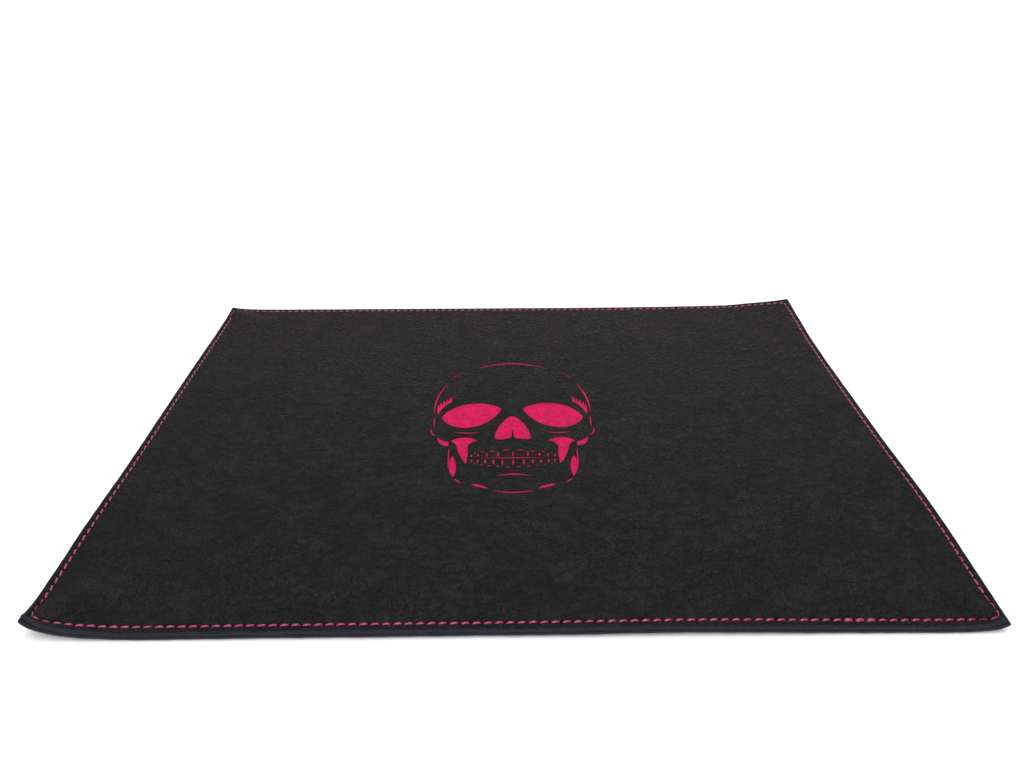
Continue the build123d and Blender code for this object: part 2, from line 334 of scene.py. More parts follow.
def skull_outlines():
    """Every painted patch of the motif, counter-clockwise."""
    nose = [(-1.5, 4.4, 0.6), (1.5, 4.4, 1.0), (6.9, -8.4, 0.9), (5.0, -10.6, 0.3), (0.6, -9.4, 0),
            (0, -4.4, 0), (-0.6, -9.4, 0.3), (-5.0, -10.6, 0.9), (-6.9, -8.4, 1.0)]
    centre = [
        patch(nose),
        stroke((-17.0, 40.4), (17.0, 40.4), 6.2, 1.0),     # crown
        stroke((-6.8, -32.8), (6.8, -32.8), 1.6, 0.8),     # fold over the chin
        stroke((-8.2, -40.3), (8.2, -40.3), -1.0, 0.8),    # chin
    ]
    right = half_skull()
    left = [outline * (-1, 1) for outline in right]
    outlines = centre + right + left + teeth()
    return [outline if area_of(outline) > 0 else outline[::-1] for outline in outlines]


def area_of(outline):
    """Signed area of a closed outline."""
    x, y = np.asarray(outline, float).T
    return float(np.sum(x * np.roll(y, -1) - y * np.roll(x, -1)) / 2)


def inside(points, outline):
    """Which points lie within a closed outline."""
    found = np.zeros(len(points), bool)
    low, high = outline.min(0), outline.max(0)
    near = np.where(((points >= low) & (points <= high)).all(1))[0]
    if len(near) == 0:
        return found
    px, py = points[near].T
    x0, y0 = outline.T
    x1, y1 = np.roll(outline, -1, 0).T
    hit = np.zeros(len(near), bool)
    for a, b, c, d in zip(x0, y0, x1, y1):
        if b != d:
            hit ^= ((b > py) != (d > py)) & (px < (c - a) * (py - b) / (d - b) + a)
    found[near] = hit
    return found


# ---------------------------------------------------------------- plan
def plan_lines(half):
    """Grid lines across the mat along one axis: fine at the edges and the folds."""
    folds = [WALL_EDGE, EAR_EDGE, WALL - 0.7, WALL, EAR, WALL + 1.3, FLOOR_EDGE, EAR_ROOT]
    near = sorted(RIM + folds)
    count = round(2 * (half - EAR_ROOT) / STEP)
    middle = [-half + EAR_ROOT + 2 * (half - EAR_ROOT) * i / count for i in range(1, count)]
    return np.array([-half + d for d in near] + middle + [half - d for d in reversed(near)])


def rows():
    """Each stitch row, all four running the same way round: start, direction, holes' spacing."""
    x, y = HALF_X - MARGIN, HALF_Y - MARGIN
    corners = {"front": ((-x, -y), (1, 0)), "right": ((x, -y), (0, 1)),
               "back": ((x, y), (-1, 0)), "left": ((-x, y), (0, -1))}
    made = {}
    for side, (start, way) in corners.items():
        long = 2 * (x if way[0] else y)
        made[side] = (np.array(start), np.array(way, float), long / STITCHES[side])
    return made


ROWS = rows()
HOLES = np.array([start + way * pitch * i for side, (start, way, pitch) in ROWS.items()
                  for i in range(STITCHES[side])])


def hole_depth(points):
    """How strongly the nearest needle hole pulls the leather down, from 0 to 1."""
    pull = np.zeros(len(points))
    for hole in HOLES:
        near = np.where(np.abs(points - hole).max(1) < 3 * HOLE_R)[0]
        apart = np.hypot(*(points[near] - hole).T)
        pull[near] = np.maximum(pull[near], np.exp(-(apart / HOLE_R) ** 2))
    return pull


def edge_distance(points):
    """Distance in from the mat's nearest edge."""
    x, y = np.abs(points).T
    return np.minimum(HALF_X - x, HALF_Y - y)


def row_distance(points):
    """Distance from the stitch line."""
    return np.abs(edge_distance(points) - MARGIN)


def ring(centre, radius, count):
    """Points round a centre."""
    turn = np.arange(count) * 2 * math.pi / count + math.pi / 4
    return centre + radius * np.stack([np.cos(turn), np.sin(turn)], 1)


OUTLINES = skull_outlines()


def scorch_points():
    """Points just outside each engraved patch, where its scorched rim fades out."""
    found = []
    for outline in OUTLINES:
        along = np.roll(outline, -1, 0) - np.roll(outline, 1, 0)
        out = np.stack([along[:, 1], -along[:, 0]], 1) / np.hypot(*along.T)[:, None]
        found.append((outline + out * BURN)[::2])
    found = np.concatenate(found)
    clear = nearest(found, np.concatenate(OUTLINES)) > 0.75 * BURN
    for outline in OUTLINES:
        clear &= ~inside(found, outline)
    return thin(found[clear], 0.3)


def nearest(points, others):
    """Distance from each point to the nearest of the others."""
    best = np.full(len(points), 1e9)
    for start in range(0, len(others), 200):
        part = others[start:start + 200]
        apart = np.hypot(points[:, None, 0] - part[:, 0], points[:, None, 1] - part[:, 1])
        best = np.minimum(best, apart.min(1))
    return best


def thin(points, spacing):
    """The points without those that crowd an earlier one."""
    taken = {}
    for point in points:
        taken.setdefault((round(point[0] / spacing), round(point[1] / spacing)), point)
    return np.array(list(taken.values()))


def plan_points():
    """Every point of the plan that the panels share."""
    gx, gy = np.meshgrid(plan_lines(HALF_X), plan_lines(HALF_Y))
    grid = np.stack([gx.ravel(), gy.ravel()], 1)
    by_row = row_distance(grid) < 1.0
    crowded = np.zeros(len(grid), bool)
    crowded[by_row] = nearest(grid[by_row], HOLES) < 1.9 * HOLE_R
    motif = np.concatenate(OUTLINES)
    central = np.abs(grid).max(1) < MOTIF_REACH
    crowded[central] |= nearest(grid[central], motif) < 0.5
    scorch = scorch_points()
    crowded[central] |= nearest(grid[central], scorch) < 0.5
    holes = [ring(hole, radius, count) for hole in HOLES for radius, count in HOLE_RINGS]
    return np.concatenate([grid[~crowded], *holes, HOLES, scorch, motif])


POINTS = plan_points()


def corner_plan(corner, points):
    """Points given as distances from a corner's side edge and front or back edge, in the plan."""
    sx, sy = corner_signs(corner)
    return [(sx * (HALF_X - u), sy * (HALF_Y - v)) for u, v in points]


def swapped(points):
    """The same outline on the other side of the corner's diagonal."""
    return [(v, u) for u, v in points]


def panel_plans():
    """Outline of each panel in the plan, by body."""
    root = [(EAR_ROOT, 0), (EAR_ROOT, WALL_EDGE), (EAR, WALL_EDGE), (EAR, EAR), (FLOOR_EDGE, FLOOR_EDGE)]
    half = [(0, 0), (EAR_ROOT, 0), (EAR_ROOT, WALL_EDGE), (EAR, WALL_EDGE), (EAR, EAR)]
    middle = [(FLOOR_EDGE, FLOOR_EDGE)]
    corners = ["front_left", "front_right", "back_right", "back_left"]
    plans = {"floor": sum((corner_plan(c, middle) for c in corners), [])}
    for side, first, last in (("front", 0, 1), ("right", 1, 2), ("back", 2, 3), ("left", 3, 0)):
        edge = root if side in ("front", "back") else swapped(root)
        plans[f"{side}_wall"] = (corner_plan(corners[first], edge[::-1])
                                 + corner_plan(corners[last], edge))
    for corner in corners:
        front_back, left_right = corner.split("_")
        plans[f"{corner}_ear_{front_back}"] = corner_plan(corner, half)
        plans[f"{corner}_ear_{left_right}"] = corner_plan(corner, swapped(half))
    return {body: np.array(plan) for body, plan in plans.items()}


def on_segment(points, start, end):
    """Indices of the points on a segment, in order along it."""
    way = end - start
    long = np.hypot(*way)
    along = (points - start) @ way / long
    off = np.abs((points - start) @ np.array([-way[1], way[0]]) / long)
    found = np.where((off < 1e-4) & (along > -1e-4) & (along < long + 1e-4))[0]
    return found[np.argsort(along[found])]


def triangulate(plan):
    """Triangles of one panel over the shared points, and the points they use."""
    if area_of(plan) < 0:
        plan = plan[::-1]
    low, high = plan.min(0) - 1e-3, plan.max(0) + 1e-3
    near = POINTS[((POINTS >= low) & (POINTS <= high)).all(1)]
    loop = []
    for start, end in zip(plan, np.roll(plan, -1, 0)):
        loop.extend(on_segment(near, start, end)[:-1])
    edge = set(loop)
    within = inside(near, plan)
    within[loop] = True
    for start, end in zip(plan, np.roll(plan, -1, 0)):
        for i in on_segment(near, start, end):
            within[i] = i in edge
    kept = np.where(within)[0]
    place = {old: new for new, old in enumerate(kept)}
    constraints = [(place[a], place[b]) for a, b in zip(loop, loop[1:] + loop[:1])]
    points = near[kept]
    index = {tuple(np.round(p, 5)): i for i, p in enumerate(points)}
    for outline in OUTLINES:
        ids = [index.get(tuple(np.round(p, 5))) for p in outline]
        if None not in ids:
            constraints += list(zip(ids, ids[1:] + ids[:1]))
    made = delaunay_2d_cdt([Vector(p) for p in points], constraints, [], 1, 1e-6, False)
    points = np.array([tuple(p) for p in made[0]])
    return points, without_flat(points, np.array([tuple(f) for f in made[2]]), plan)


def without_flat(points, triangles, plan):
    """The triangles without those whose corners all lie on one straight side of the plan.

    Such a triangle has no area in the plan, but would stand up as a sliver where the side curls. It
    and its neighbour share out their corners anew, and one with no neighbour is dropped.
    """
    for _ in range(FLAT_PASSES):
        flat = np.zeros(len(triangles), bool)
        for start, end in zip(plan, np.roll(plan, -1, 0)):
            on = np.zeros(len(points), bool)
            on[on_segment(points, start, end)] = True
            flat |= on[triangles].all(1)
        if not flat.any():
            break
        faces = [tuple(int(i) for i in t) for t in triangles]
        owner = {(t[i], t[(i + 1) % 3]): n for n, t in enumerate(faces) for i in range(3)}
        changed = set()
        for n in np.where(flat)[0]:
            t = faces[n]
            sides = [(np.hypot(*(points[t[i]] - points[t[(i + 1) % 3]])), i) for i in range(3)]
            i = max(sides)[1]
            a, b, c = t[i], t[(i + 1) % 3], t[(i + 2) % 3]
            other = owner.get((b, a))
            if n in changed or other in changed:
                continue
            if other is None:
                faces[n] = None
            else:
                d = next(k for k in faces[other] if k not in (a, b))
                faces[n], faces[other] = (a, d, c), (d, b, c)
                changed.add(other)
            changed.add(n)
        triangles = np.array([t for t in faces if t])
    return triangles


# ---------------------------------------------------------------- meshes
def rim_drop(points, radius):
    """How far a rounded edge falls below the face, at points of the plan."""
    inward = np.clip(radius - edge_distance(points), 0, radius)
    return radius - np.sqrt(radius ** 2 - inward ** 2)


def finish_mesh(name, points, faces, rest, masks, material, sharp=0.7):
    """Mesh object with smooth faces, sharp edges, its flat coordinates and its masks."""
    mesh = bpy.data.meshes.new(name)
    mesh.from_pydata(points.tolist(), [], faces)
    mesh.polygons.foreach_set("use_smooth", [True] * len(mesh.polygons))
    flat = mesh.attributes.new("rest", "FLOAT_VECTOR", "POINT")
    flat.data.foreach_set("vector", (rest * MM).astype(np.float32).ravel())
    for key, values in masks.items():
        mask = mesh.attributes.new(key, "FLOAT", "POINT")
        mask.data.foreach_set("value", np.asarray(values, np.float32))
    mesh.update()
    mesh.set_sharp_from_angle(angle=sharp)
    mesh.materials.append(material)
    piece = bpy.data.objects.new(name, mesh)
    bpy.context.scene.collection.objects.link(piece)
    return piece


def boundary(triangles):
    """Directed edges that only one triangle uses."""
    edges = {(t[i], t[(i + 1) % 3]) for t in triangles.tolist() for i in range(3)}
    return [(a, b) for a, b in edges if (b, a) not in edges]


def leather_heights(points, layer):
    """Top and bottom of a layer of the flat mat, at points of the plan."""
    across = row_distance(points)
    groove = np.where(across < GROOVE / 2, np.cos(math.pi * across / GROOVE) ** 2, 0)
    pull = hole_depth(points)
    x, y = points.T
    fine = 0.02 * np.sin(x * 0.9 + 1.3 * np.sin(y * 0.55)) * np.sin(y * 0.8)
    if layer:
        top = THICK - rim_drop(points, ROUND_TOP) - np.maximum(GROOVE_DEEP * groove, HOLE_DEEP * pull)
        return top + fine * smooth((across - 1) / 3), LEATHER + rim_drop(points, ROUND_SEAM)
    under = rim_drop(points, ROUND_UNDER) + np.maximum(GROOVE_UNDER * groove, HOLE_DEEP * pull)
    return LEATHER - rim_drop(points, ROUND_SEAM), under


def edge_mask(points):
    """1 on the cut edge, fading to 0 on the face."""
    return 1 - smooth((edge_distance(points) - 0.12) / 0.75)


def engraved(points, triangles):
    """Which triangles lie in the motif's painted patches."""
    centres = points[triangles].mean(1)
    found = np.zeros(len(triangles), bool)
    for outline in OUTLINES:
        found |= inside(centres, outline)
    return found


def leather_slab(body, layer, plan, material):
    """One panel of one layer, closed all round, with the motif's recesses in the floor."""
    points, triangles = triangulate(plan)
    top, bottom = leather_heights(points, layer)
    has_motif = layer and body == "floor"
    sunk = engraved(points, triangles) if has_motif else np.zeros(len(triangles), bool)
    count = len(points)
    both = np.concatenate([points, points])
    z = np.concatenate([top, bottom])
    faces = triangles[~sunk].tolist() + (triangles[:, ::-1] + count).tolist()
    faces += [(b, a, a + count, b + count) for a, b in boundary(triangles)]
    if sunk.any():
        used = np.unique(triangles[sunk])
        lower = {old: 2 * count + i for i, old in enumerate(used)}
        both = np.concatenate([both, points[used]])
        z = np.concatenate([z, top[used] - RECESS])
        pit = triangles[sunk]
        faces += [[lower[i] for i in t] for t in pit.tolist()]
        faces += [(a, b, lower[b], lower[a]) for a, b in boundary(pit)]
    edge = edge_mask(both)
    scorched = np.zeros(len(both))
    if has_motif:
        near = np.abs(both).max(1) < MOTIF_REACH
        scorched[near] = 1 - smooth(nearest(both[near], np.concatenate(OUTLINES)) / BURN)
    rest = np.column_stack([both, z])
    name = f"{body}_{'top' if layer else 'lining'}"
    piece = finish_mesh(name, set_on_surface(*rest.T, layer), faces, rest,
                        {"edge": edge, "scorch": scorched}, material)
    remove_loose(piece.data)
    return piece, area_of(plan)


def remove_loose(mesh):
    """Drops points that no face uses."""
    bm = bmesh.new()
    bm.from_mesh(mesh)
    bmesh.ops.delete(bm, geom=[v for v in bm.verts if not v.link_faces], context="VERTS")
    bm.to_mesh(mesh)
    bm.free()


def skull_paint(material):
    """The paint that fills the engraving, one closed piece for each patch."""
    points, triangles = triangulate(panel_plans()["floor"])
    pit = triangles[engraved(points, triangles)]
    used = np.unique(pit)
    new = {old: i for i, old in enumerate(used)}
    flat = points[used]
    count = len(used)
    pit = np.array([[new[i] for i in t] for t in pit.tolist()])
    rim = np.zeros(count, bool)
    rim[[i for edge in boundary(pit) for i in edge]] = True
    top = leather_heights(flat, 1)[0]
    uneven = np.array([random.uniform(-0.015, 0.015) for _ in range(count)])
    upper = top - PAINT_DEEP + uneven - np.where(rim, 0.03, 0)
    rest = np.column_stack([np.concatenate([flat, flat]), np.concatenate([upper, top - RECESS])])
    faces = pit.tolist() + (pit[:, ::-1] + count).tolist()
    faces += [(b, a, a + count, b + count) for a, b in boundary(pit)]
    worn = np.concatenate([rim, rim]).astype(float)
    return finish_mesh("skull_paint", set_on_surface(*rest.T, 1), faces, rest, {"worn": worn}, material)


# ---------------------------------------------------------------- thread
THREAD_ALONG = 18         # rings along a stitch
THREAD_ROUND = 12         # points round each
STITCH_INSET = 0.36       # how far short of the middle of its holes a stitch reaches
ARCH = 2 / 2.5            # power that makes the stitch's arch flatter than half an ellipse
PLY_DEEP = 0.11           # swell of the two plies, as a share of the thread
PLY_TWIST = 2.2           # radians for each mm along
LOCKED_AT = (93.0, 98.5, 101.5)           # x of the front stitches that are sewn twice


def stitch_tube(start, way, pitch, under, plump=1.0, shift=0.0):
    """One stitch from hole to hole: a flattened two-ply tube with its ends down in the holes."""
    out = np.array([way[1], -way[0]])
    lean = SLANT * random.uniform(0.8, 1.2) * (-1 if under else 1)
    side = random.uniform(-0.03, 0.03) + shift
    lift = random.uniform(-0.02, 0.03)
    turn = random.uniform(0, math.pi)
    reach = pitch / 2 - STITCH_INSET
    wide, tall = THREAD_WIDE * plump, THREAD_TALL * plump
    phi = np.linspace(0.02, math.pi - 0.02, THREAD_ALONG)
    along = -reach * np.sign(np.cos(phi)) * np.abs(np.cos(phi)) ** ARCH
    rise = THREAD_SINK * (np.sin(phi) ** ARCH - 1)
    level = THICK - GROOVE_DEEP + THREAD_TALL / 2 + lift
    if under:
        level = THREAD_TALL / 2 + 0.03
        rise = -rise
    middle = start + way * pitch / 2
    centre = middle + np.outer(along, way) + np.outer(side - lean * along / reach, out)
    z = level + rise
    step_a = np.gradient(along)
    step_z = np.gradient(z)
    long = np.hypot(step_a, step_z)
    theta = np.arange(THREAD_ROUND) * 2 * math.pi / THREAD_ROUND
    run = np.concatenate([[0], np.cumsum(np.hypot(np.diff(along), np.diff(z)))])
    points = []
    for i in range(THREAD_ALONG):
        ply = 1 + PLY_DEEP * np.cos(2 * (theta - turn - run[i] * PLY_TWIST))
        full = 0.72 + 0.28 * math.sin(phi[i]) ** 0.6
        sideways = wide / 2 * full * ply * np.cos(theta)
        upward = tall / 2 * full * ply * np.sin(theta)
        plan = centre[i] + np.outer(sideways, out) - np.outer(upward * step_z[i] / long[i], way)
        points.append(np.column_stack([plan, z[i] + upward * step_a[i] / long[i]]))
    points = np.concatenate(points)
    if under:
        points[:, 2] = np.maximum(points[:, 2], 0.02)
    n = THREAD_ROUND
    faces = [(i * n + j, i * n + (j + 1) % n, (i + 1) * n + (j + 1) % n, (i + 1) * n + j)
             for i in range(THREAD_ALONG - 1) for j in range(n)]
    last = (THREAD_ALONG - 1) * n
    faces += [tuple(range(n - 1, -1, -1)), tuple(range(last, last + n))]
    return points, faces


def stitch_run(name, side, numbers, material):
    """A run of stitches on both faces, as one piece."""
    start, way, pitch = ROWS[side]
    points, faces = [], []
    total = 0
    for number in numbers:
        hole = start + way * pitch * number
        tubes = []
        for under in (False, True):
            if side == "front" and number in LOCKED and not under:
                tubes.append(stitch_tube(hole, way, pitch, under, 1.0, 0.2))
                tubes.append(stitch_tube(hole, way, pitch, under, 1.12, -0.16))
            else:
                tubes.append(stitch_tube(hole, way, pitch, under))
        for tube_points, tube_faces in tubes:
            points.append(tube_points)
            faces += [tuple(i + total for i in face) for face in tube_faces]
            total += len(tube_points)
    rest = np.concatenate(points)
    return finish_mesh(name, set_on_surface(*rest.T, 1), faces, rest, {}, material, sharp=1.2)


def locked_stitches():
    """Front stitches sewn twice, where the thread was finished off."""
    start, _, pitch = ROWS["front"]
    return {int((x - start[0]) // pitch) for x in LOCKED_AT}


LOCKED = locked_stitches()


# ---------------------------------------------------------------- materials, in linear colours
LEATHER_DARK = (0.0052, 0.0052, 0.0054, 1)
LEATHER_PALE = (0.0128, 0.0110, 0.0103, 1)
# Painted shade: darker in the gaps between pebbles and along the wrinkles' valleys
PEBBLE_GAP_SHADE = (0.0022, 0.0022, 0.0024, 1)
CREASE_SHADE = (0.0022, 0.0021, 0.0022, 1)
BACK_TINT_AND_SHEEN = (0.0165, 0.0116, 0.0112, 1)       # red-brown tone towards the back, lighter there too as a painted sheen
# Painted shade: darker between the coarse folds
FOLD_GAP_SHADE = (0.0026, 0.0024, 0.0026, 1)
SCORCH = (0.0020, 0.0012, 0.0014, 1)
EDGE_DARK = (0.0095, 0.0098, 0.0150, 1)
EDGE_PALE = (0.0200, 0.0206, 0.0325, 1)
EDGE_SEAM = (0.0035, 0.0045, 0.0055, 1)
THREAD_DARK = (0.16, 0.0035, 0.038, 1)
THREAD_PALE = (0.33, 0.009, 0.088, 1)
THREAD_PATCH = (0.40, 0.035, 0.15, 1)
PAINT_DARK = (0.36, 0.004, 0.052, 1)
PAINT_PALE = (0.56, 0.008, 0.088, 1)
PAINT_SPECK = (0.22, 0.004, 0.036, 1)
PAINT_RIM = (0.20, 0.008, 0.04, 1)
NICKEL_DARK = (0.58, 0.56, 0.52, 1)
NICKEL_PALE = (0.72, 0.71, 0.68, 1)


class Nodes:
    """Short calls for building a material's nodes."""

    def __init__(self, name):
        self.material = bpy.data.materials.new(name)
        self.material.use_nodes = True
        self.tree = self.material.node_tree
        self.shader = self.tree.nodes["Principled BSDF"]

    def add(self, kind, **values):
        """A node with its properties, and its inputs given by socket name or number."""
        node = self.tree.nodes.new(kind)
        inputs = values.pop("inputs", {})
        for key, value in values.items():
            setattr(node, key, value)
        for key, value in inputs.items():
            if isinstance(value, bpy.types.NodeSocket):
                self.tree.links.new(value, node.inputs[key])
            else:
                node.inputs[key].default_value = value
        return node

    def attribute(self, name, output="Fac"):
        """A point attribute of the mesh."""
        return self.add("ShaderNodeAttribute", attribute_name=name).outputs[output]

    def noise(self, vector, scale, detail=3.0, rough=0.5):
        """Noise value, from 0 to 1."""
        inputs = {"Vector": vector, "Scale": scale, "Detail": detail, "Roughness": rough}
        return self.add("ShaderNodeTexNoise", inputs=inputs).outputs["Fac"]

    def cells(self, vector, scale, feature="DISTANCE_TO_EDGE"):
        """Distance within irregular cells: from their edges, or from their middles with F1."""
        inputs = {"Vector": vector, "Scale": scale}
        node = self.add("ShaderNodeTexVoronoi", feature=feature, inputs=inputs)
        return node.outputs["Distance"]

    def warped(self, vector, warp, amount):
        """Vector pushed about by a colour of noise."""
        inputs = {0: warp, 1: (amount, amount, amount), 2: vector}
        return self.add("ShaderNodeVectorMath", operation="MULTIPLY_ADD", inputs=inputs).outputs[0]

    def math(self, operation, a, b=0.0):
        """Result of a sum on two values."""
        return self.add("ShaderNodeMath", operation=operation, inputs={0: a, 1: b}).outputs[0]

    def ramp(self, value, low, high, to_low=0.0, to_high=1.0):
        """Value moved from one range to another, smoothly and held at its ends."""
        inputs = {"Value": value, "From Min": low, "From Max": high,
                  "To Min": to_low, "To Max": to_high}
        node = self.add("ShaderNodeMapRange", interpolation_type="SMOOTHSTEP", inputs=inputs)
        return node.outputs["Result"]

    def mix(self, share, a, b):
        """Colour between two colours."""
        inputs = {0: share, 6: a, 7: b}
        return self.add("ShaderNodeMix", data_type="RGBA", inputs=inputs).outputs[2]

    def moved(self, vector, scale=(1, 1, 1), turn=0.0):
        """Vector stretched and turned about z."""
        inputs = {"Vector": vector, "Scale": scale, "Rotation": (0, 0, turn)}
        return self.add("ShaderNodeMapping", inputs=inputs).outputs[0]

    def bump(self, value, distance, strength=1.0):
        """Normal from a height."""
        inputs = {"Height": value, "Distance": distance, "Strength": strength}
        return self.add("ShaderNodeBump", inputs=inputs).outputs[0]

    def set(self, **sockets):
        """Shader sockets by name, with underscores for spaces."""
        for key, value in sockets.items():
            socket = self.shader.inputs[key.replace("_", " ")]
            if isinstance(value, bpy.types.NodeSocket):
                self.tree.links.new(value, socket)
            else:
                socket.default_value = value
        return self.material


def leather_material(name):
    """Black chrome-tanned leather: pebble grain, fine wrinkles, mottling, a burnished edge, painted
    shade in the grain's hollows and a painted sheen towards the back.
    """
    n = Nodes(name)
    rest = n.attribute("rest", "Vector")
    edge = n.attribute("edge")
    scorch = n.attribute("scorch")
    noise_inputs = {"Vector": rest, "Scale": 260.0, "Detail": 2.0}
    warp = n.add("ShaderNodeTexNoise", inputs=noise_inputs).outputs["Color"]
    warped = n.warped(rest, warp, 0.0016)
    pebble = n.ramp(n.cells(warped, 780.0), 0.0, 0.32)
    small = n.cells(warped, 1700.0, "F1")
    wrinkle = n.noise(n.moved(rest, (1.0, 1.5, 1.0), 0.35), 120.0, 6.0, 0.62)
    crease = n.ramp(n.math("ABSOLUTE", n.math("SUBTRACT", wrinkle, 0.5)), 0.0, 0.055)
    patchy = n.noise(rest, 34.0, 3.0, 0.55)
    worn = n.ramp(patchy, 0.36, 0.66)
    broad = n.noise(n.moved(rest, (1.0, 1.4, 1.0), -0.2), 62.0, 4.0, 0.6)
    height = n.math("ADD", n.math("MULTIPLY", pebble, n.ramp(patchy, 0.3, 0.7, 0.35, 0.9)),
                    n.math("MULTIPLY", small, -0.35))
    height = n.math("ADD", height, n.math("MULTIPLY", crease, 0.8))
    height = n.math("ADD", height, n.math("MULTIPLY", broad, 2.2))
    place = n.add("ShaderNodeSeparateXYZ", inputs={0: rest}).outputs
    folds = n.cells(n.warped(rest, warp, 0.0045), 340.0)
    coarse = n.math("MULTIPLY", n.ramp(folds, 0.0, 0.26), n.ramp(place[1], -0.02, 0.09, 0.8, 2.0))
    height = n.math("ADD", height, n.math("MULTIPLY", coarse, n.ramp(patchy, 0.35, 0.6, 0.5, 1.3)))
    fibres = n.noise(n.moved(rest, (1.0, 1.0, 4.0)), 900.0, 3.0, 0.6)
    calm = n.math("SUBTRACT", 1.0, edge)
    edge_height = n.math("MULTIPLY", n.math("MULTIPLY", fibres, edge), 0.6)
    height = n.math("ADD", n.math("MULTIPLY", height, calm), edge_height)
    tone = n.mix(n.ramp(broad, 0.35, 0.68), LEATHER_DARK, LEATHER_PALE)
    # Painted shade: darker between the pebbles and along the wrinkles' valleys
    tone = n.mix(n.math("MULTIPLY", n.ramp(pebble, 0.0, 0.5, 1.0, 0.0), 0.55), tone, PEBBLE_GAP_SHADE)
    tone = n.mix(n.ramp(crease, 0.0, 0.6, 0.5, 0.0), tone, CREASE_SHADE)
    # Red-brown tone towards the back, lighter there as a painted sheen
    tone = n.mix(n.ramp(place[1], -0.01, 0.1, 0.0, 0.45), tone, BACK_TINT_AND_SHEEN)
    # Painted shade: darker between the coarse folds
    tone = n.mix(n.ramp(folds, 0.0, 0.16, 0.45, 0.0), tone, FOLD_GAP_SHADE)
    tone = n.mix(n.math("MULTIPLY", scorch, 0.8), tone, SCORCH)
    side = n.mix(n.ramp(fibres, 0.35, 0.7), EDGE_DARK, EDGE_PALE)
    off_seam = n.math("ABSOLUTE", n.math("SUBTRACT", place[2], LEATHER * MM))
    side = n.mix(n.ramp(off_seam, 0.0001, 0.0004, 0.8, 0.0), side, EDGE_SEAM)
    colour = n.mix(edge, tone, side)
    rough = n.math("ADD", n.ramp(worn, 0.0, 1.0, 0.58, 0.48), n.math("MULTIPLY", small, 0.12))
    rough = n.math("SUBTRACT", rough, n.math("MULTIPLY", edge, 0.06))
    return n.set(Base_Color=colour, Roughness=rough, Normal=n.bump(height, 0.00034, 1.0),
                 Specular_IOR_Level=0.14)


def thread_material():
    """Pink waxed polyester thread."""
    n = Nodes("pink_thread")
    rest = n.attribute("rest", "Vector")
    fibre = n.noise(rest, 2600.0, 2.0, 0.6)
    patchy = n.noise(rest, 240.0, 2.0, 0.5)
    colour = n.mix(n.ramp(fibre, 0.3, 0.7), THREAD_DARK, THREAD_PALE)
    colour = n.mix(n.ramp(patchy, 0.45, 0.75, 0.0, 0.4), colour, THREAD_PATCH)
    return n.set(Base_Color=colour, Roughness=n.ramp(fibre, 0.2, 0.8, 0.26, 0.4),
                 Normal=n.bump(fibre, 0.00005, 0.8), Specular_IOR_Level=0.7)


def paint_material():
    """Pink acrylic rubbed into the engraving: mottled, thin and speckled, faded at its rims."""
    n = Nodes("skull_pink")
    rest = n.attribute("rest", "Vector")
    worn = n.attribute("worn")
    cloud = n.noise(rest, 420.0, 4.0, 0.6)
    speck = n.noise(rest, 1500.0, 2.0, 0.7)
    broad = n.noise(rest, 90.0, 2.0, 0.5)
    colour = n.mix(n.ramp(cloud, 0.3, 0.7), PAINT_DARK, PAINT_PALE)
    colour = n.mix(n.ramp(speck, 0.55, 0.70, 0.0, 0.7), colour, PAINT_SPECK)
    faded = n.math("MULTIPLY", worn, n.ramp(broad, 0.35, 0.7, 0.1, 0.5))
    colour = n.mix(faded, colour, PAINT_RIM)
    return n.set(Base_Color=colour, Roughness=n.ramp(cloud, 0.2, 0.8, 0.65, 0.85),
                 Normal=n.bump(n.math("ADD", cloud, n.math("MULTIPLY", speck, 0.5)), 0.00012, 0.8),
                 Specular_IOR_Level=0.08)


def magnet_material():
    """Nickel-plated disc magnet."""
    n = Nodes("nickel")
    rest = n.attribute("rest", "Vector")
    scratch = n.noise(n.moved(rest, (1.0, 9.0, 1.0), 0.5), 900.0, 3.0, 0.6)
    colour = n.mix(scratch, NICKEL_DARK, NICKEL_PALE)
    return n.set(Base_Color=colour, Metallic=1.0, Roughness=n.ramp(scratch, 0.3, 0.7, 0.22, 0.38),
                 Normal=n.bump(scratch, 0.00002, 0.4))


def attach(piece, body):
    """Makes the floor's piece follow its body; any other piece keeps its place, baked into its mesh."""
    if body == "floor":
        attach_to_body(piece, "floor")
        return
    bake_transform(piece)


def dress_panels():
    """Both leather layers of every panel."""
    materials = {1: leather_material("black_leather"), 0: leather_material("black_lining")}
    for body, plan in panel_plans().items():
        for layer, word, node in ((1, "top", "leather"), (0, "lining", "backing")):
            piece, area = leather_slab(body, layer, plan, materials[layer])
            attach(piece, body)
            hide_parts(f"{body}_{node}")


def dress_stitches():
    """The thread of every wall and every corner half."""
    material = thread_material()
    ends = {"front": ("front_left", "front_right"), "right": ("front_right", "back_right"),
            "back": ("back_right", "back_left"), "left": ("back_left", "front_left")}
    for side, count in STITCHES.items():
        runs = {f"{ends[side][0]}_ear_{side}": range(EAR_STITCHES),
                f"{side}_wall": range(EAR_STITCHES, count - EAR_STITCHES),
                f"{ends[side][1]}_ear_{side}": range(count - EAR_STITCHES, count)}
        for body, numbers in runs.items():
            piece = stitch_run(f"{body}_thread", side, numbers, material)
            if body.endswith("_wall"):
                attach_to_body(piece, body)
            else:
                attach(piece, body)
            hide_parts(f"{body}_stitches")


def dress_skull():
    """The paint in the floor's engraving."""
    piece = skull_paint(paint_material())
    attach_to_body(piece, "floor")
    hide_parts("skull_inlay")


MAGNET_R = 5.0
MAGNET_TALL = 1.0
MAGNET_BASE = 1.0         # above the mat's underside


